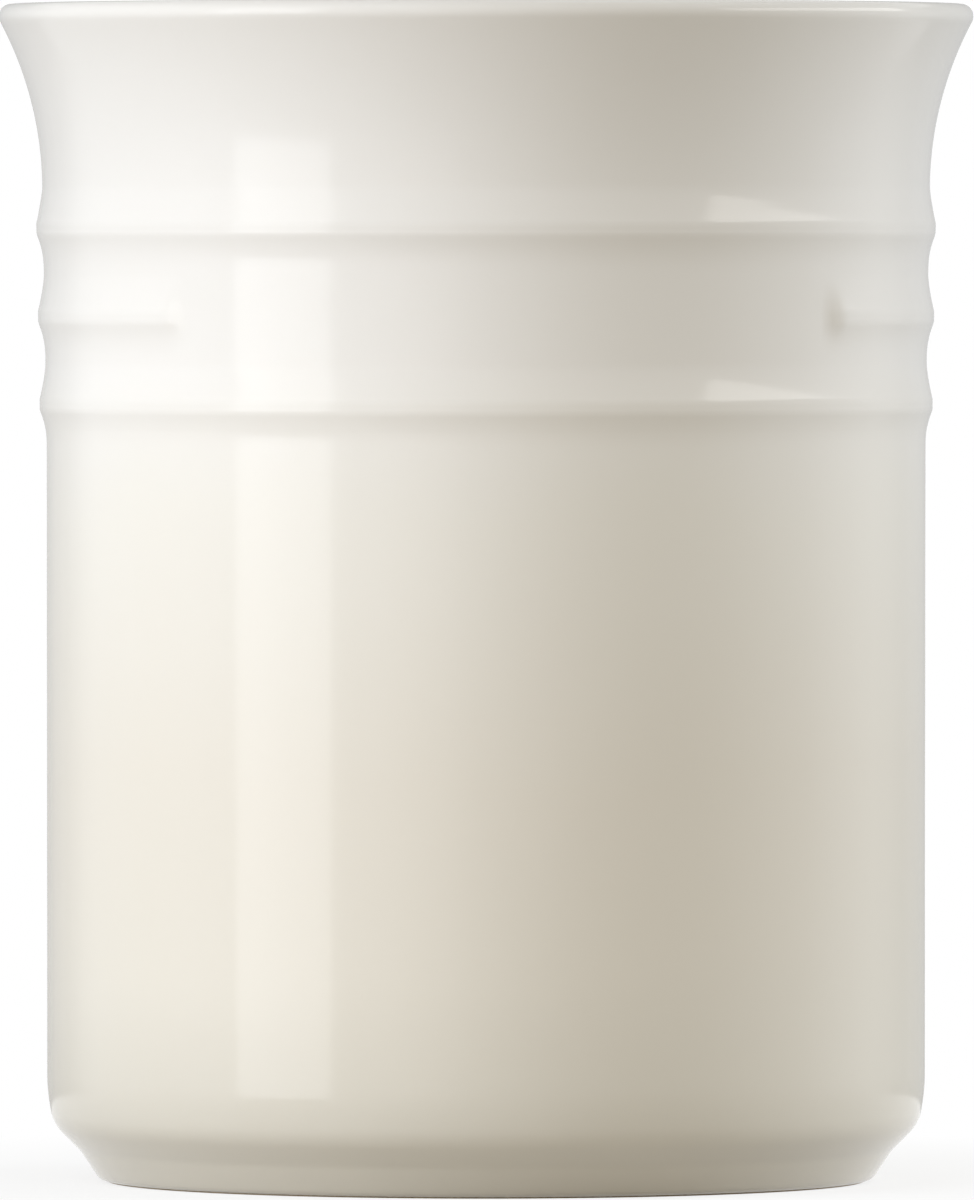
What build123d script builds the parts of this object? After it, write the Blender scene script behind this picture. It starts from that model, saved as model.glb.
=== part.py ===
"""Utensil crock: an open stoneware jar with a flared lip, a collar of three ribs and a small foot.

Millimetres, +Z up, with the origin at the centre of the foot's standing plane. The middle rib
stops at both sides of a bare panel on the front, which faces -Y.

The crock is thrown and fired as one piece, with its outer glaze fused into the clay's skin.
The liner glaze is poured in and out again, so it is a coat of one thickness from the crown of
the lip down to the floor. A patch of glaze also covers the recess under the base, and the ring
that the crock stands on has none.
"""

from build123d import *
import math
import os

# Body
HEIGHT = 150.0
WALL_RADIUS = 56.0
WALL_THICKNESS = 5.5
FLOOR_THICKNESS = 4.8
FLOOR_CORNER_ROUND = 8.0

# Flare and lip
NECK_STEP = 0.55
FLARE_HEIGHT = 23.7
FLARE_ROUND = 45.5
FLARE_ROUND_INSIDE = 42.0
FLARE_ANGLE = 27.5
LIP_ROUND_OUTSIDE = 1.55
LIP_ROUND_INSIDE = 3.2

# Collar of three ribs, each steeper below its crest than above
TOP_RIB_DROP = 5.6
TOP_RIB_FLAT = 1.4
RIB_PITCH = 11.0
RIB_STAND = 0.88
RIB_ANGLE_BELOW = 17.5
RIB_ANGLE_ABOVE = 10.5
RIB_CREST_ROUND = 4.5
COLLAR_TAPER_ANGLE = 0.9

# Bare panel that the middle rib leaves free
PANEL_HALF_ANGLE = 48.3
RIB_END_BEVEL = 40.0

# Chamfered lower corner, foot and recess
CORNER_ANGLE = 47.0
CORNER_ROUND = 8.5
FOOT_HEIGHT = 4.2
FOOT_INSET = 4.0
FOOT_ANGLE = 31.0
FOOT_ROUND = 1.6
FOOT_RING_WIDTH = 6.0
RECESS_DEPTH = 2.2

# Glaze
GLAZE = 0.4
BASE_GLAZE_MARGIN = 1.6

# Steps that stand for a round where a true one would need too many facets
LIP_STEPS = 3
LIP_STEPS_INSIDE = 2
INNER_FLARE_STEPS = 2
FLOOR_CORNER_STEPS = 2
CORNER_STEPS = 3
FOOT_STEPS = 2
RIB_CREST_STEPS = 2

# Straight stretch that is left between the flare's round and the lip's
LEAST_STRAIGHT = 0.2

# How far construction shapes reach past the crock
BEYOND = 5.0


def slope(angle):
    """Change of radius for each millimetre of height, at this angle from the vertical."""
    return math.tan(math.radians(angle))


flare_start = HEIGHT - FLARE_HEIGHT
top_rib = flare_start - TOP_RIB_DROP
middle_rib = top_rib - RIB_PITCH
bottom_rib = middle_rib - RIB_PITCH
collar_start = bottom_rib - RIB_STAND / slope(RIB_ANGLE_BELOW)
neck_radius = WALL_RADIUS + NECK_STEP
bore_radius = neck_radius - WALL_THICKNESS
floor_top = RECESS_DEPTH + FLOOR_THICKNESS
crease_radius = WALL_RADIUS - FOOT_INSET
foot_radius = crease_radius - FOOT_HEIGHT * slope(FOOT_ANGLE)
ring_inner_radius = foot_radius - FOOT_RING_WIDTH
recess_radius = ring_inner_radius - RECESS_DEPTH * slope(FOOT_ANGLE)
corner_height = FOOT_HEIGHT + FOOT_INSET / slope(CORNER_ANGLE)

# The flare's inside is parallel to its outside, and both its rounds end before the lip's begin
flare_lean = math.cos(math.radians(FLARE_ANGLE))
lip_reach = LIP_ROUND_OUTSIDE * slope(45 + FLARE_ANGLE / 2) + LEAST_STRAIGHT
longest_reach = (FLARE_HEIGHT - lip_reach * flare_lean) / (1 + flare_lean)
flare_round = min(FLARE_ROUND, longest_reach / slope(FLARE_ANGLE / 2))
flare_corner = flare_start + flare_round * slope(FLARE_ANGLE / 2)
inner_flare_corner = flare_corner + WALL_THICKNESS * slope(FLARE_ANGLE / 2)
mouth_reach = LIP_ROUND_INSIDE * slope(45 - FLARE_ANGLE / 2) + LEAST_STRAIGHT
longest_inner_reach = (HEIGHT - inner_flare_corner) / flare_lean - mouth_reach
inner_flare_round = min(FLARE_ROUND_INSIDE, longest_inner_reach / slope(FLARE_ANGLE / 2))
lip_radius = neck_radius + (HEIGHT - flare_corner) * slope(FLARE_ANGLE)
mouth_radius = bore_radius + (HEIGHT - inner_flare_corner) * slope(FLARE_ANGLE)
crown_radius = (lip_radius + mouth_radius) / 2


def collar_radius(height):
    """Radius of the collar between its ribs, which widens slightly towards the neck."""
    return WALL_RADIUS + (height - collar_start) * slope(COLLAR_TAPER_ANGLE)


def rib_corners(height, flat=0.0):
    """Corners of one rib from the bottom up: lower foot, crest (two if it is flat) and upper foot."""
    crest = collar_radius(height) + RIB_STAND
    taper = slope(COLLAR_TAPER_ANGLE)
    low, high = height - flat / 2, height + flat / 2
    fall = (crest - collar_radius(low)) / (slope(RIB_ANGLE_BELOW) - taper)
    rise = (crest - collar_radius(high)) / (slope(RIB_ANGLE_ABOVE) + taper)
    lower_foot = (collar_radius(low - fall), low - fall)
    upper_foot = (collar_radius(high + rise), high + rise)
    crests = [(crest, low), (crest, high)] if flat else [(crest, height)]
    return [lower_foot, *crests, upper_foot]


def stepped_round(before, corner, after, radius, steps):
    """Points that round off a corner in straight steps, each one touching the true round."""
    before, corner, after = Vector(*before), Vector(*corner), Vector(*after)
    inward, outward = (before - corner).normalized(), (after - corner).normalized()
    turn = 180 - inward.get_angle(outward)
    centre = corner + (inward + outward).normalized() * (radius / math.cos(math.radians(turn / 2)))
    start = corner + inward * radius * slope(turn / 2)
    way = 1 if (start - centre).cross(corner - start).Z > 0 else -1
    step = turn / steps
    reach = radius / math.cos(math.radians(step / 2))
    spoke = (start - centre).normalized() * reach
    points = [centre + spoke.rotate(Axis.Z, way * step * (n + 0.5)) for n in range(steps)]
    return [(point.X, point.Y) for point in points]


def outline(corners):
    """A closed section from its corners, each with a radius and a number of steps, 0 for a true round."""
    points, fillets = [], []
    for n, (corner, radius, steps) in enumerate(corners):
        if radius and steps:
            before, after = corners[n - 1][0], corners[(n + 1) % len(corners)][0]
            points += stepped_round(before, corner, after, radius, steps)
            continue
        points.append(corner)
        if radius:
            fillets.append((corner, radius))
    section = make_face(Polyline(*points, close=True).edges())
    for corner, radius in fillets:
        section = fillet(section.vertices().sort_by_distance(corner)[0], radius)
    return section


def turned(section):
    """A section on the XZ plane, cut at the axis and turned into the round."""
    right_side = Pos(HEIGHT / 2, HEIGHT / 2) * Rectangle(HEIGHT, HEIGHT + 2 * BEYOND)
    return revolve(Plane.XZ * (section & right_side), Axis.Z)


def crock_section():
    """The glazed crock's section without the middle rib, from the recess round the lip to the floor."""
    _, low_crest, low_top = rib_corners(bottom_rib)
    low_foot = (WALL_RADIUS, low_crest[1] - (low_crest[0] - WALL_RADIUS) / slope(RIB_ANGLE_BELOW))
    high_foot, high_crest, high_edge, _ = rib_corners(top_rib, TOP_RIB_FLAT)
    neck = high_edge[1] + (high_edge[0] - neck_radius) / slope(RIB_ANGLE_ABOVE)
    return outline(
        [
            ((-BEYOND, RECESS_DEPTH), 0, 0),
            ((recess_radius, RECESS_DEPTH), 0, 0),
            ((ring_inner_radius, 0), 0, 0),
            ((foot_radius, 0), FOOT_ROUND, FOOT_STEPS),
            ((crease_radius, FOOT_HEIGHT), 0, 0),
            ((WALL_RADIUS, corner_height), CORNER_ROUND, CORNER_STEPS),
            (low_foot, 0, 0),
            (low_crest, RIB_CREST_ROUND, RIB_CREST_STEPS),
            (low_top, 0, 0),
            (high_foot, 0, 0),
            (high_crest, 0, 0),
            (high_edge, 0, 0),
            ((neck_radius, neck), 0, 0),
            ((neck_radius, flare_corner), flare_round, 0),
            ((lip_radius, HEIGHT), LIP_ROUND_OUTSIDE, LIP_STEPS),
            ((mouth_radius, HEIGHT), LIP_ROUND_INSIDE, LIP_STEPS_INSIDE),
            ((bore_radius, inner_flare_corner), inner_flare_round, INNER_FLARE_STEPS),
            ((bore_radius, floor_top), FLOOR_CORNER_ROUND, FLOOR_CORNER_STEPS),
            ((-BEYOND, floor_top), 0, 0),
        ]
    )


def liner_section(section):
    """The poured coat inside the crock, parted from the rest along the middle of the wall."""
    skin = section - offset(section, -GLAZE, kind=Kind.INTERSECTION)
    mid_radius = bore_radius + WALL_THICKNESS / 2
    mid_floor = floor_top - FLOOR_THICKNESS / 2
    inside = Polyline(
        (crown_radius, HEIGHT + BEYOND),
        (crown_radius, HEIGHT - LIP_ROUND_OUTSIDE),
        (mid_radius, flare_start),
        (mid_radius, floor_top),
        (bore_radius, mid_floor),
        (-BEYOND, mid_floor),
        (-BEYOND, HEIGHT + BEYOND),
        close=True,
    )
    return skin & make_face(inside.edges())


def middle_rib_ring():
    """The middle rib, open at the front panel, with its two ends bevelled."""
    lower_foot, crest, upper_foot = rib_corners(middle_rib)
    inner_radius = lower_foot[0] - WALL_THICKNESS / 2
    rib = outline(
        [
            ((inner_radius, lower_foot[1]), 0, 0),
            (lower_foot, 0, 0),
            (crest, RIB_CREST_ROUND, RIB_CREST_STEPS),
            (upper_foot, 0, 0),
            ((inner_radius, upper_foot[1]), 0, 0),
        ]
    )
    radius = collar_radius(middle_rib)
    end = Vector(0, -radius).rotate(Axis.Z, PANEL_HALF_ANGLE)
    past_end = end + Vector(0, -BEYOND).rotate(Axis.Z, PANEL_HALF_ANGLE + RIB_END_BEVEL)
    far = Vector(radius + BEYOND, -radius - BEYOND)
    right = [end, past_end, far]
    left = [Vector(-point.X, point.Y) for point in reversed(right)]
    panel = make_face(Polyline(Vector(0, 0), *right, *left, close=True).edges())
    gap = extrude(Pos(0, 0, lower_foot[1] - BEYOND) * panel, RIB_PITCH + 2 * BEYOND)
    return revolve(Plane.XZ * rib, Axis.Z) - gap


section = crock_section()
liner = liner_section(section)
patch_radius = recess_radius - BASE_GLAZE_MARGIN
patch = Pos(0, 0, RECESS_DEPTH - GLAZE) * extrude(Circle(patch_radius), GLAZE)
parts = {
    "stoneware_body": turned(section - liner) + middle_rib_ring(),
    "inner_glaze": turned(liner),
    "base_glaze": patch,
}

os.makedirs("parts", exist_ok=True)
for name, part in parts.items():
    export_step(part, f"parts/{name}.step")
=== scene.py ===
"""A utensil crock of glazed stoneware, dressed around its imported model.

Metres, +Z up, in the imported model's frame. The sections follow the crock as it is made: the
turned shape under its outer glaze, the liner poured inside, the bare clay of the foot and the
patch of glaze under the base. The floor, the room and the lamps come last.
"""

import math

import bpy
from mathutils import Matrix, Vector


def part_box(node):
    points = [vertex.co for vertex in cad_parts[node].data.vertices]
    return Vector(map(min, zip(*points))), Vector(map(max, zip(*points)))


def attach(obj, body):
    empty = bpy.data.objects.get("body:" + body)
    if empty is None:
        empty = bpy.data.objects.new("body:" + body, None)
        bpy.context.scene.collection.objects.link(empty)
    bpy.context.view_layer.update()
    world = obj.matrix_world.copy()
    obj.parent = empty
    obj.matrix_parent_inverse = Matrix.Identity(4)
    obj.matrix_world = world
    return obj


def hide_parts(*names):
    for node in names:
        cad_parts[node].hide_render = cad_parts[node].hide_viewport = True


MM = 0.001

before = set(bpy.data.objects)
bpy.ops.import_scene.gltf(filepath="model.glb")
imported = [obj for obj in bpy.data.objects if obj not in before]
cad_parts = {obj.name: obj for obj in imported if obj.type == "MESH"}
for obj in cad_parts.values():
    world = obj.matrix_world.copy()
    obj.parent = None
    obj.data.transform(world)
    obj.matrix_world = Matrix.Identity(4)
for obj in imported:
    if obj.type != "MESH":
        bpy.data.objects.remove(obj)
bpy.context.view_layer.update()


# The camera looks at the crock from 2.6 m away through a long lens. It stands near the lip's
# height and a little to the left of the bare panel, which faces -Y.
CAMERA_DISTANCE = 2583 * MM
CAMERA_HEIGHT = 122.9 * MM
CAMERA_AZIMUTH = -3.5
AIM_HEIGHT = 74.05 * MM
AIM_SIDE = 0.12 * MM


def place_in_scene(name, data):
    """A new object with this data, linked into the scene at the origin."""
    made = bpy.data.objects.new(name, data)
    bpy.context.scene.collection.objects.link(made)
    return made


camera_turn = math.radians(CAMERA_AZIMUTH)
to_camera = Vector((math.sin(camera_turn), -math.cos(camera_turn), 0))
camera_right = Vector((math.cos(camera_turn), math.sin(camera_turn), 0))
camera = place_in_scene("camera", bpy.data.cameras.new("camera"))
camera.data.lens = 607.9
camera.data.sensor_width = 36.0
camera.data.clip_end = 100.0
camera.location = to_camera * CAMERA_DISTANCE + Vector((0, 0, CAMERA_HEIGHT))
aim = camera_right * AIM_SIDE + Vector((0, 0, AIM_HEIGHT))
camera.rotation_euler = (aim - camera.location).to_track_quat("-Z", "Y").to_euler()
bpy.context.scene.camera = camera
bpy.context.scene.view_settings.view_transform = "Standard"


# The outside of the crock: stoneware turned on a wheel, with a flared lip, three ribs pressed in
# by a profile tool and a small foot. A dipped glaze covers it down to the foot.
_, body_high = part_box("stoneware_body")
HEIGHT = body_high.z
TURN_STEPS = 384

# Where the glaze stops, and how far it reaches in under the foot
GLAZE_STOP = 0.2 * MM
GLAZE_UNDER_FOOT = 1.6 * MM

# Each corner of the outside is a radius and a height, and has a round of its own
FOOT_SIDE = 49.25 * MM
FOOT_ROUND = 1.25 * MM
FOOT_CREASE = (51.75 * MM, 3.95 * MM)
CREASE_ROUND = 5.0 * MM
CHAMFER_TOP = (55.2 * MM, 7.4 * MM)
CHAMFER_ROUND = 5.0 * MM
CORNER_TOP = (55.95 * MM, 11.6 * MM)
CORNER_ROUND = 25 * MM
COLLAR_START = (56.0 * MM, 95.9 * MM)
COLLAR_TOP = (56.44 * MM, 121.0 * MM)
COLLAR_ROUND = 20 * MM
NECK_RADIUS = 56.55 * MM
NECK_HEIGHT = 124.5 * MM
FLARE_CORNER_HEIGHT = 137.43 * MM
FLARE_ROUND = 45.5 * MM
LIP_CORNER_RADIUS = 63.09 * MM
LIP_ROUND = 1.55 * MM
CROWN_RADIUS = 59.99 * MM

# The ribs, which are steeper below their crests than above; angles are in degrees from the front
LOWEST_RIB = 98.95 * MM
RIB_PITCH = 11.2 * MM
RIB_STAND = 0.84 * MM
RIB_BELOW = 4.4 * MM
RIB_ABOVE = 4.7 * MM
RIB_FLAT = 0.7 * MM
SLOPE_BELOW = 2.2
SLOPE_ABOVE = 1.45
PANEL_HALF_ANGLE = 45.4
RIB_END = 3.6

# The wall's slow unevenness, as waves up the wall for each metre and round it
WAVES_UP = 22.0
WAVE_SCALE = 1.3


def rounded_path(corners, spacing):
    """Points along a path of (radius, height, round) corners, close enough to turn smoothly."""
    points = [Vector(corners[0][:2])]
    for before, here, after in zip(corners, corners[1:], corners[2:]):
        corner, rounding = Vector(here[:2]), here[2]
        back = (Vector(before[:2]) - corner).normalized()
        ahead = (Vector(after[:2]) - corner).normalized()
        turn = math.pi - back.angle(ahead)
        reach = rounding * math.tan(turn / 2)
        middle = corner + (back + ahead).normalized() * rounding / math.cos(turn / 2)
        points += straight_run(points[-1], corner + back * reach, spacing)
        # A small round still gets four steps for each radian
        steps = max(2, math.ceil(turn * max(rounding / spacing, 4)))
        start, end = corner + back * reach - middle, corner + ahead * reach - middle
        for n in range(1, steps + 1):
            points.append(middle + start.slerp(end, n / steps).normalized() * rounding)
    return points + straight_run(points[-1], Vector(corners[-1][:2]), spacing)


def straight_run(start, end, spacing):
    """Points after start up to end, evenly spaced."""
    steps = max(1, round((end - start).length / spacing))
    return [start.lerp(end, n / steps) for n in range(1, steps + 1)]


def add_node(tree, kind, inputs=(), **settings):
    """Adds a node with its settings and feeds its inputs, by place or name, from values or sockets."""
    made = tree.nodes.new(kind)
    for name, value in settings.items():
        setattr(made, name, value)
    for place, value in dict(inputs).items():
        if isinstance(value, bpy.types.NodeSocket):
            tree.links.new(value, made.inputs[place])
        else:
            made.inputs[place].default_value = value
    return made


def wheel_tree():
    """Geometry nodes that turn a profile line into the round, press in the ribs and let it wobble."""
    tree = bpy.data.node_groups.new("turned_on_the_wheel", "GeometryNodeTree")
    face = tree.interface
    for name, kind in (
        ("Profile", "NodeSocketGeometry"),
        ("Turn Steps", "NodeSocketInt"),
        ("Lowest Rib", "NodeSocketFloat"),
        ("Rib Pitch", "NodeSocketFloat"),
        ("Rib Stand", "NodeSocketFloat"),
        ("Rib Below", "NodeSocketFloat"),
        ("Rib Above", "NodeSocketFloat"),
        ("Rib Flat", "NodeSocketFloat"),
        ("Panel Half Angle", "NodeSocketFloat"),
        ("Rib End", "NodeSocketFloat"),
        ("Wobble", "NodeSocketFloat"),
        ("Seed", "NodeSocketFloat"),
        ("Material", "NodeSocketMaterial"),
    ):
        face.new_socket(name, in_out="INPUT", socket_type=kind)
    face.new_socket("Turned", in_out="OUTPUT", socket_type="NodeSocketGeometry")
    entry = add_node(tree, "NodeGroupInput").outputs

    # A flat grid of one column for each step of the turn and one row for each profile point
    count = add_node(tree, "GeometryNodeAttributeDomainSize", {0: entry["Profile"]})
    rows = count.outputs["Point Count"]
    columns = add_node(tree, "ShaderNodeMath", {0: entry["Turn Steps"], 1: 1.0}, operation="ADD")
    grid = add_node(
        tree, "GeometryNodeMeshGrid", {0: 1.0, 1: 1.0, 2: columns.outputs[0], 3: rows}
    )
    grid_place = add_node(tree, "GeometryNodeInputPosition").outputs[0]
    flat = add_node(tree, "ShaderNodeSeparateXYZ", {0: grid_place}).outputs

    # The profile point of each row
    last = add_node(tree, "ShaderNodeMath", {0: rows, 1: 1.0}, operation="SUBTRACT").outputs[0]
    share = add_node(tree, "ShaderNodeMath", {0: flat["Y"], 1: 0.5}, operation="ADD").outputs[0]
    level = add_node(tree, "ShaderNodeMath", {0: share, 1: last}, operation="MULTIPLY").outputs[0]
    row = add_node(tree, "ShaderNodeMath", {0: level}, operation="ROUND").outputs[0]
    profile_place = add_node(tree, "GeometryNodeInputPosition").outputs[0]
    sample = add_node(
        tree,
        "GeometryNodeSampleIndex",
        {"Geometry": entry["Profile"], "Value": profile_place, "Index": row},
        data_type="FLOAT_VECTOR",
        domain="POINT",
    )
    profile = add_node(tree, "ShaderNodeSeparateXYZ", {0: sample.outputs[0]}).outputs

    # Each step is a result, its operation and its terms. The first ones place the point on the
    # turn. Then comes the nearest of the three ribs, and how high its bump stands at this height,
    # and the middle rib dies away at both sides of the bare panel. The wobble comes last.
    results = {socket.name: socket for socket in entry}
    results |= {"across": flat["X"], "radius": profile["X"], "height": profile["Z"]}
    for result, operation, *terms in (
        ("degrees", "MULTIPLY", "across", 360.0),
        ("turn", "RADIANS", "degrees"),
        ("sine", "SINE", "turn"),
        ("cosine", "COSINE", "turn"),
        ("above lowest", "SUBTRACT", "height", "Lowest Rib"),
        ("pitches up", "DIVIDE", "above lowest", "Rib Pitch"),
        ("whole pitches", "ROUND", "pitches up"),
        ("at least lowest", "MAXIMUM", "whole pitches", 0.0),
        ("nearest", "MINIMUM", "at least lowest", 2.0),
        ("nearest above lowest", "MULTIPLY", "nearest", "Rib Pitch"),
        ("centre", "ADD", "Lowest Rib", "nearest above lowest"),
        ("above centre", "SUBTRACT", "height", "centre"),
        ("above crest", "SUBTRACT", "above centre", "Rib Flat"),
        ("below centre", "SUBTRACT", "centre", "height"),
        ("below crest", "SUBTRACT", "below centre", "Rib Flat"),
        ("fade above", "LINEAR", "above crest", 0.0, "Rib Above", 1.0, 0.0),
        ("fade below", "LINEAR", "below crest", 0.0, "Rib Below", 1.0, 0.0),
        ("slope above", "POWER", "fade above", SLOPE_ABOVE),
        ("slope below", "POWER", "fade below", SLOPE_BELOW),
        ("bump", "MULTIPLY", "slope above", "slope below"),
        ("is middle", "COMPARE", "nearest", 1.0, 0.1),
        ("full rib", "ADD", "Panel Half Angle", "Rib End"),
        ("from front", "ABSOLUTE", "degrees"),
        ("panel", "SMOOTHSTEP", "from front", "Panel Half Angle", "full rib", 1.0, 0.0),
        ("lost", "MULTIPLY", "is middle", "panel"),
        ("kept", "SUBTRACT", 1.0, "lost"),
        ("relief", "MULTIPLY", "bump", "kept"),
        ("stand", "MULTIPLY", "relief", "Rib Stand"),
        ("waves up", "MULTIPLY", "height", WAVES_UP),
        ("noise place", "XYZ", "sine", "cosine", "waves up"),
        ("noise", "NOISE", "noise place", "Seed", WAVE_SCALE, 1.0),
        ("both ways", "SUBTRACT", "noise", 0.5),
        ("wobble", "MULTIPLY", "both ways", "Wobble"),
        ("stand and wobble", "ADD", "stand", "wobble"),
        ("reach", "ADD", "radius", "stand and wobble"),
        ("to the right", "MULTIPLY", "reach", "sine"),
        ("forward", "MULTIPLY", "cosine", -1.0),
        ("to the back", "MULTIPLY", "reach", "forward"),
        ("turned", "XYZ", "to the right", "to the back", "height"),
    ):
        kind, settings = {
            "XYZ": ("ShaderNodeCombineXYZ", {}),
            "NOISE": ("ShaderNodeTexNoise", {"noise_dimensions": "4D"}),
            "LINEAR": ("ShaderNodeMapRange", {"interpolation_type": "LINEAR"}),
            "SMOOTHSTEP": ("ShaderNodeMapRange", {"interpolation_type": "SMOOTHSTEP"}),
        }.get(operation, ("ShaderNodeMath", {"operation": operation}))
        inputs = {place: results.get(term, term) for place, term in enumerate(terms)}
        results[result] = add_node(tree, kind, inputs, **settings).outputs[0]

    # The turned sheet is closed along its seam and at its pole, and given its material
    placed = add_node(tree, "GeometryNodeSetPosition", {0: grid.outputs[0], 2: results["turned"]})
    joined = add_node(
        tree, "GeometryNodeMergeByDistance", {0: placed.outputs[0], "Distance": 0.002 * MM}
    )
    shaded = add_node(tree, "GeometryNodeSetShadeSmooth", {0: joined.outputs[0]})
    real = add_node(tree, "GeometryNodeRealizeInstances", {0: shaded.outputs[0]})
    dressed = add_node(
        tree, "GeometryNodeSetMaterial", {0: real.outputs[0], "Material": entry["Material"]}
    )
    add_node(tree, "NodeGroupOutput", {0: dressed.outputs[0]})
    return tree


def turn_piece(name, profile, material, **sizes):
    """A piece turned from its profile points by the wheel tree, as a plain mesh at the origin."""
    line = bpy.data.meshes.new(name + "_profile")
    edges = [(n, n + 1) for n in range(len(profile) - 1)]
    line.from_pydata([(point[0], 0.0, point[1]) for point in profile], edges, [])
    source = place_in_scene(name + "_profile", line)
    modifier = source.modifiers.new("wheel", "NODES")
    modifier.node_group = WHEEL
    sockets = {s.name: s.identifier for s in WHEEL.interface.items_tree if s.in_out == "INPUT"}
    values = {"Turn Steps": TURN_STEPS, "Rib Pitch": RIB_PITCH, "Material": material, **sizes}
    for label, value in values.items():
        modifier[sockets[label]] = value
    source.update_tag()
    depsgraph = bpy.context.evaluated_depsgraph_get()
    mesh = bpy.data.meshes.new_from_object(source.evaluated_get(depsgraph))
    mesh.name = name
    bpy.data.objects.remove(source)
    return place_in_scene(name, mesh)


def linear(colour):
    """An sRGB hex colour as the linear values that a shader takes."""
    parts = [int(colour[n : n + 2], 16) / 255 for n in (1, 3, 5)]
    return [p / 12.92 if p <= 0.04045 else ((p + 0.055) / 1.055) ** 2.4 for p in parts] + [1.0]


def empty_material(name):
    """A new material whose node tree is still empty, and that tree."""
    material = bpy.data.materials.new(name)
    material.use_nodes = True
    material.node_tree.nodes.clear()
    return material, material.node_tree


# Sizes of the glaze's mottle and of its orange peel, and how far the mottle shifts the tone
MOTTLE_SIZE = 38 * MM
MOTTLE_SHIFT = 8 * MM
PEEL_SIZE = 2.2 * MM
PEEL_DEPTH = 0.02 * MM


def glaze_material(name, colours):
    """Opaque stoneware glaze, dipped and fired to a gloss.

    The eye sees a smooth, hard shine over a milky body, warmer where the coat is thick near the
    foot, with a slow mottle from the dip and a faint ripple of orange peel. Each colour goes
    with its height in millimetres.
    """
    material, tree = empty_material(name)
    where = add_node(tree, "ShaderNodeTexCoord").outputs["Object"]
    height = add_node(tree, "ShaderNodeSeparateXYZ", {0: where}).outputs["Z"]
    mottle = add_node(
        tree, "ShaderNodeTexNoise", {0: where, "Scale": 1 / MOTTLE_SIZE, "Detail": 2.0}
    )
    shift = add_node(
        tree, "ShaderNodeMapRange", {0: mottle.outputs[0], 3: -MOTTLE_SHIFT, 4: MOTTLE_SHIFT}
    )
    level = add_node(tree, "ShaderNodeMath", {0: height, 1: shift.outputs[0]}, operation="ADD")
    share = add_node(tree, "ShaderNodeMapRange", {0: level.outputs[0], 1: 0.0, 2: HEIGHT})
    colour = add_node(tree, "ShaderNodeValToRGB", {0: share.outputs[0]})
    stops = colour.color_ramp.elements
    for height_mm, tone in colours:
        stop = stops.new(height_mm * MM / HEIGHT) if height_mm else stops[0]
        stop.color = linear(tone)
    stops.remove(stops[-1])
    peel = add_node(tree, "ShaderNodeTexNoise", {0: where, "Scale": 1 / PEEL_SIZE, "Detail": 1.0})
    ripple = add_node(
        tree, "ShaderNodeBump", {"Strength": 0.12, "Distance": PEEL_DEPTH, "Height": peel.outputs[0]}
    )
    look = {"Base Color": colour.outputs[0], "Normal": ripple.outputs[0], "IOR": 1.54}
    shader = add_node(tree, "ShaderNodeBsdfPrincipled", {**look, "Roughness": 0.11})
    add_node(tree, "ShaderNodeOutputMaterial", {0: shader.outputs[0]})
    return material


WHEEL = wheel_tree()
glaze = glaze_material(
    "stoneware_glaze_dipped",
    [(0, "#E2DDCF"), (52, "#E9E3D6"), (86, "#F0ECE2"), (104, "#F3F0EA"), (135, "#EEEBE5")],
)
outer_profile = rounded_path(
    [
        (FOOT_SIDE - GLAZE_UNDER_FOOT, GLAZE_STOP, 0),
        (FOOT_SIDE, GLAZE_STOP, FOOT_ROUND),
        (*FOOT_CREASE, CREASE_ROUND),
        (*CHAMFER_TOP, CHAMFER_ROUND),
        (*CORNER_TOP, CORNER_ROUND),
        (*COLLAR_START, COLLAR_ROUND),
        (*COLLAR_TOP, COLLAR_ROUND),
        (NECK_RADIUS, NECK_HEIGHT, COLLAR_ROUND),
        (NECK_RADIUS, FLARE_CORNER_HEIGHT, FLARE_ROUND),
        (LIP_CORNER_RADIUS, HEIGHT, LIP_ROUND),
        (CROWN_RADIUS, HEIGHT, 0),
    ],
    spacing=0.45 * MM,
)
outer_sizes = {
    "Lowest Rib": LOWEST_RIB,
    "Rib Stand": RIB_STAND,
    "Rib Below": RIB_BELOW,
    "Rib Above": RIB_ABOVE,
    "Rib Flat": RIB_FLAT,
    "Panel Half Angle": PANEL_HALF_ANGLE,
    "Rib End": RIB_END,
    "Wobble": 0.06 * MM,
    "Seed": 3.0,
}
outer_coat = turn_piece("outer_coat", outer_profile, glaze, **outer_sizes)
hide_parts("stoneware_body")
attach(outer_coat, "root")


# The inside: the same glaze poured in and out again, from the crown of the lip down the flare
# and the straight wall to the rounded corner of the floor. It is 0.4 mm thick.
liner_low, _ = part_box("inner_glaze")
LINER_THICKNESS = 0.4 * MM
INSIDE_FLOOR = liner_low.z + LINER_THICKNESS
BORE_RADIUS = 51.05 * MM
BORE_ROUND = 8 * MM
MOUTH_RADIUS = 56.89 * MM
MOUTH_ROUND = 3.2 * MM
INNER_FLARE_HEIGHT = 138.78 * MM
INNER_FLARE_ROUND = 42 * MM
inner_profile = rounded_path(
    [
        (CROWN_RADIUS, HEIGHT, 0),
        (MOUTH_RADIUS, HEIGHT, MOUTH_ROUND),
        (BORE_RADIUS, INNER_FLARE_HEIGHT, INNER_FLARE_ROUND),
        (BORE_RADIUS, INSIDE_FLOOR, BORE_ROUND),
        (0.0, INSIDE_FLOOR, 0),
    ],
    spacing=1.2 * MM,
)
liner_coat = turn_piece("liner_coat", inner_profile, glaze)
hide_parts("inner_glaze")
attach(liner_coat, "root")


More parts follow.
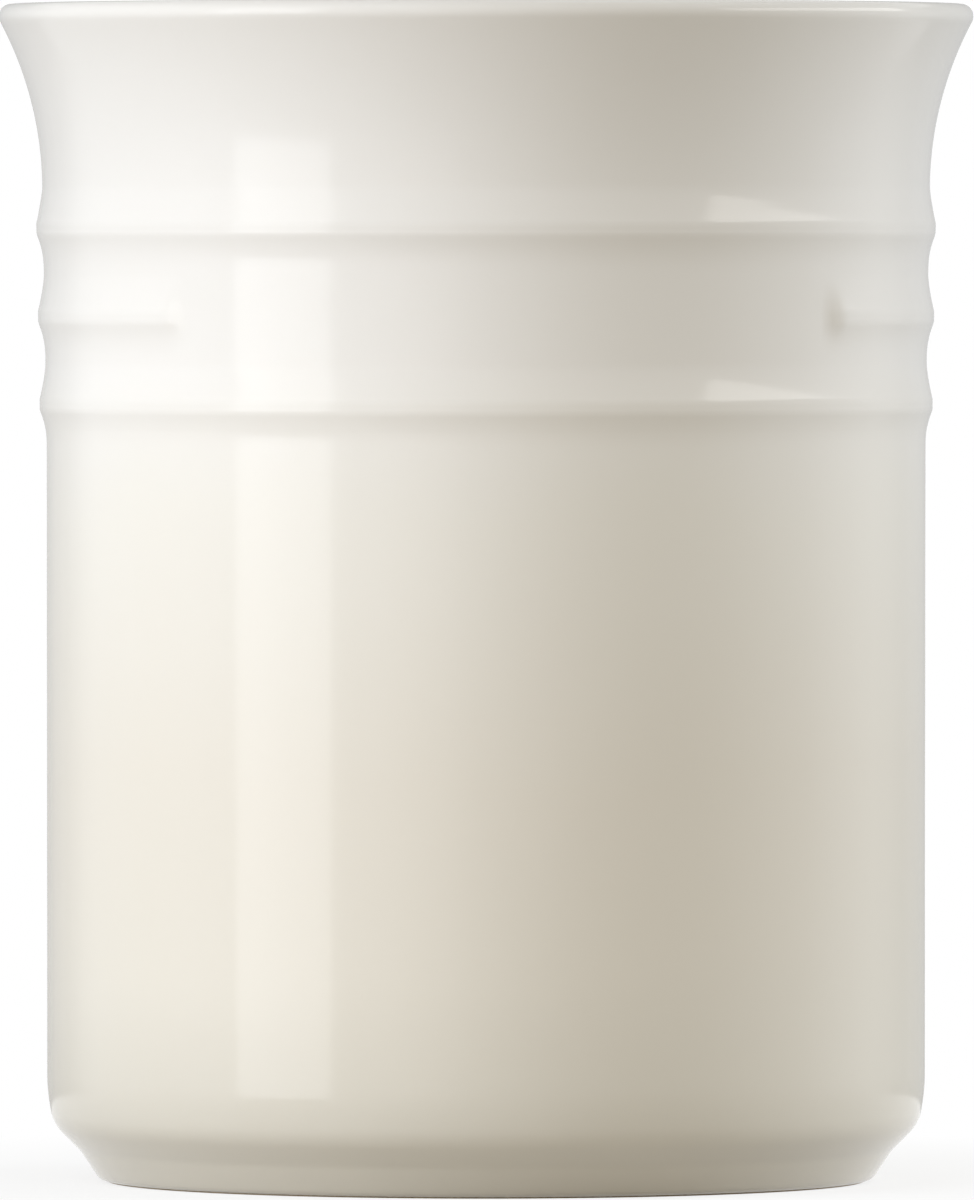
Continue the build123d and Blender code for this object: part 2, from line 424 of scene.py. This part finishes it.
# The foot: bare stoneware that was wiped clean before firing, so that the crock doesn't stick to
# the kiln shelf. It is a ring round a shallow recess, and its side ends behind the glaze.
patch_low, patch_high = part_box("base_glaze")
RECESS_RADIUS = 42.15 * MM
RECESS_ROUND = 1.2 * MM
RING_INNER_RADIUS = 43.48 * MM
RING_ROUND = 0.8 * MM
CLAY_SIDE = FOOT_SIDE - 0.7 * MM
CLAY_ROUND = 0.5 * MM
CLAY_TOP = (FOOT_SIDE - 0.45 * MM, 1.2 * MM)
GRIT_SIZE = 0.6 * MM
GRIT_DEPTH = 0.08 * MM


def bare_clay_material():
    """Fired buff clay, wiped and left unglazed: dry and dull to the eye, with a fine grit."""
    material, tree = empty_material("stoneware_bare_fired")
    where = add_node(tree, "ShaderNodeTexCoord").outputs["Object"]
    grit = add_node(tree, "ShaderNodeTexNoise", {0: where, "Scale": 1 / GRIT_SIZE, "Detail": 4.0})
    colour = add_node(tree, "ShaderNodeValToRGB", {0: grit.outputs[0]})
    for stop, position, tone in zip(colour.color_ramp.elements, (0.3, 0.7), ("#B7A284", "#D6C6A8")):
        stop.position = position
        stop.color = linear(tone)
    rough = add_node(
        tree, "ShaderNodeBump", {"Strength": 0.5, "Distance": GRIT_DEPTH, "Height": grit.outputs[0]}
    )
    look = {"Base Color": colour.outputs[0], "Normal": rough.outputs[0], "Roughness": 0.85}
    shader = add_node(tree, "ShaderNodeBsdfPrincipled", look)
    add_node(tree, "ShaderNodeOutputMaterial", {0: shader.outputs[0]})
    return material


clay_profile = rounded_path(
    [
        (0.0, patch_high.z, 0),
        (RECESS_RADIUS, patch_high.z, RECESS_ROUND),
        (RING_INNER_RADIUS, 0.0, RING_ROUND),
        (CLAY_SIDE, 0.0, CLAY_ROUND),
        (*CLAY_TOP, 0),
    ],
    spacing=0.5 * MM,
)
bare_foot = turn_piece("bare_foot", clay_profile, bare_clay_material(), Wobble=0.03 * MM, Seed=8.0)
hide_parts("stoneware_body")
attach(bare_foot, "root")


# The patch under the base: glaze left in the recess after the foot was wiped, with a soft edge
# where it drew back from the ring.
PATCH_ROUND = 0.35 * MM
patch_profile = rounded_path(
    [
        (0.0, patch_low.z, 0),
        (patch_high.x, patch_low.z, PATCH_ROUND),
        (patch_high.x, patch_high.z, 0),
    ],
    spacing=1.0 * MM,
)
base_patch = turn_piece("base_patch", patch_profile, glaze)
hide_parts("base_glaze")
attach(base_patch, "root")


# The floor: a plain pale sheet just under the foot. The camera and the glaze's reflections see it
# lit white away from the crock, with the crock's shadow close to it, and not at all from below.
FLOOR_RADIUS = 150 * MM
FLOOR_DROP = 0.02 * MM
FLOOR_TONE = "#C0BAB0"
SHADOW_NEAR = 50 * MM
SHADOW_FAR = 140 * MM
LEAST_WHITE = 0.8
rim_angles = [math.radians(degrees) for degrees in range(0, 360, 5)]
rim = [(FLOOR_RADIUS * math.cos(a), FLOOR_RADIUS * math.sin(a), -FLOOR_DROP) for a in rim_angles]
floor_mesh = bpy.data.meshes.new("floor")
floor_mesh.from_pydata(rim, [], [list(range(len(rim)))])
floor = place_in_scene("floor", floor_mesh)


def any_ray(tree, *kinds):
    """A socket that gives 1 for a ray of one of these kinds, and 0 for any other."""
    rays = add_node(tree, "ShaderNodeLightPath").outputs
    either = rays[kinds[0]]
    for kind in kinds[1:]:
        larger = add_node(tree, "ShaderNodeMath", {0: either, 1: rays[kind]}, operation="MAXIMUM")
        either = larger.outputs[0]
    return either


floor_material, floor_tree = empty_material("floor_pale_sheet")
matt = add_node(floor_tree, "ShaderNodeBsdfDiffuse", {0: linear(FLOOR_TONE)})
paper = add_node(floor_tree, "ShaderNodeBsdfDiffuse", {0: linear("#FFFFFF")})
white = add_node(floor_tree, "ShaderNodeEmission", {0: linear("#FFFFFF"), 1: 1.0})
spot = add_node(floor_tree, "ShaderNodeTexCoord").outputs["Object"]
away = add_node(floor_tree, "ShaderNodeVectorMath", {0: spot}, operation="LENGTH").outputs["Value"]
lit = add_node(
    floor_tree, "ShaderNodeMapRange", {0: away, 1: SHADOW_NEAR, 2: SHADOW_FAR, 3: LEAST_WHITE, 4: 1.0}
)
seen = add_node(
    floor_tree, "ShaderNodeMixShader", {0: lit.outputs[0], 1: paper.outputs[0], 2: white.outputs[0]}
)
looked_at = any_ray(floor_tree, "Is Camera Ray", "Is Glossy Ray")
above = add_node(
    floor_tree, "ShaderNodeMixShader", {0: looked_at, 1: matt.outputs[0], 2: seen.outputs[0]}
)
from_below = add_node(floor_tree, "ShaderNodeNewGeometry").outputs["Backfacing"]
by_camera = any_ray(floor_tree, "Is Camera Ray")
hidden = add_node(floor_tree, "ShaderNodeMath", {0: from_below, 1: by_camera}, operation="MULTIPLY")
clear = add_node(floor_tree, "ShaderNodeBsdfTransparent")
floor_look = add_node(
    floor_tree, "ShaderNodeMixShader", {0: hidden.outputs[0], 1: above.outputs[0], 2: clear.outputs[0]}
)
add_node(floor_tree, "ShaderNodeOutputMaterial", {0: floor_look.outputs[0]})
floor.data.materials.append(floor_material)


# The room: white to the camera and in reflections, and otherwise a low, even and slightly warm
# light on the crock.
ROOM_STRENGTH = 0.26
world = bpy.data.worlds.new("room")
bpy.context.scene.world = world
world.use_nodes = True
world.node_tree.nodes.clear()
shown = any_ray(world.node_tree, "Is Camera Ray", "Is Glossy Ray", "Is Transmission Ray")
room_light = add_node(
    world.node_tree, "ShaderNodeBackground", {0: linear("#FFF7DC"), 1: ROOM_STRENGTH}
)
room_white = add_node(world.node_tree, "ShaderNodeBackground", {0: linear("#FFFFFF"), 1: 1.0})
room = add_node(
    world.node_tree,
    "ShaderNodeMixShader",
    {0: shown, 1: room_light.outputs[0], 2: room_white.outputs[0]},
)
add_node(world.node_tree, "ShaderNodeOutputWorld", {0: room.outputs[0]})


# The lamps: a tall softbox at the left front, which shows as a bright strip in the glaze, a wide
# one at the upper right, which shows on the ribs, and five that only light the crock.
def softbox(name, azimuth, elevation, distance, size, radiance, tint, raised=0.0, glossy=False):
    """A rectangular lamp aimed at the crock's middle; azimuth 0 is the front, positive the right."""
    lamp = bpy.data.lights.new(name, "AREA")
    lamp.shape = "RECTANGLE"
    lamp.size, lamp.size_y = size
    lamp.energy = math.pi * size[0] * size[1] * radiance
    lamp.color = linear(tint)[:3]
    box = place_in_scene(name, lamp)
    a, e = math.radians(azimuth), math.radians(elevation)
    way = Vector((math.sin(a) * math.cos(e), -math.cos(a) * math.cos(e), math.sin(e)))
    box.location = Vector((0, 0, HEIGHT / 2 + raised)) + way * distance
    box.rotation_euler = (-way).to_track_quat("-Z", "Y").to_euler()
    box.visible_glossy = glossy


# Name, azimuth, elevation, distance, width and height, radiance and tint
softbox("strip_left", -56.9, 0, 1.1, (0.53, 1.05), 1.5, "#FAFCFF", raised=0.32, glossy=True)
softbox("side_left", -73, 5, 1.5, (0.95, 1.15), 3.45, "#E8F0FF")
softbox("front_low", -22, -2, 1.5, (0.6, 0.8), 2.9, "#FFF6F4")
softbox("side_right", 104, 8, 1.5, (0.62, 1.0), 7.6, "#E8F0FF")
softbox("high_right", 86, 25, 1.5, (1.6, 0.45), 1.9, "#FFFDFA", glossy=True)
softbox("high_left", -45, 50, 1.5, (0.9, 0.9), 2.0, "#E6F0FF")
softbox("overhead", 0, 85, 1.5, (1.0, 1.0), 0.3, "#FFFFFF")


# Two upright sheets behind the crock, out of sight, which fade from white to grey: the glaze
# mirrors them along both its edges.
SHEET_BOTTOM = -300 * MM
SHEET_TOP = 700 * MM
FADE_END = 0.72


def fading_sheet(name, near, far, strength):
    """A sheet from near to far, white at its near end and of this strength at its far one."""
    corners = [(*near, SHEET_BOTTOM), (*far, SHEET_BOTTOM), (*far, SHEET_TOP), (*near, SHEET_TOP)]
    mesh = bpy.data.meshes.new(name)
    mesh.from_pydata(corners, [], [(0, 1, 2, 3)])
    sheet = place_in_scene(name, mesh)
    sheet.visible_camera = False
    sheet.visible_diffuse = False
    material, tree = empty_material(name + "_card")
    where = add_node(tree, "ShaderNodeTexCoord").outputs["Object"]
    across = add_node(tree, "ShaderNodeSeparateXYZ", {0: where}).outputs["X"]
    fade = {0: across, 1: near[0], 2: near[0] * FADE_END, 3: 1.0, 4: strength}
    share = add_node(tree, "ShaderNodeMapRange", fade)
    glow = add_node(tree, "ShaderNodeEmission", {0: linear("#FFFFFF"), 1: share.outputs[0]})
    add_node(tree, "ShaderNodeOutputMaterial", {0: glow.outputs[0]})
    sheet.data.materials.append(material)


fading_sheet("sheet_right", (1.34, 0.68), (0.02, 1.5), 0.55)
fading_sheet("sheet_left", (-1.19, 0.92), (-0.02, 1.5), 0.6)
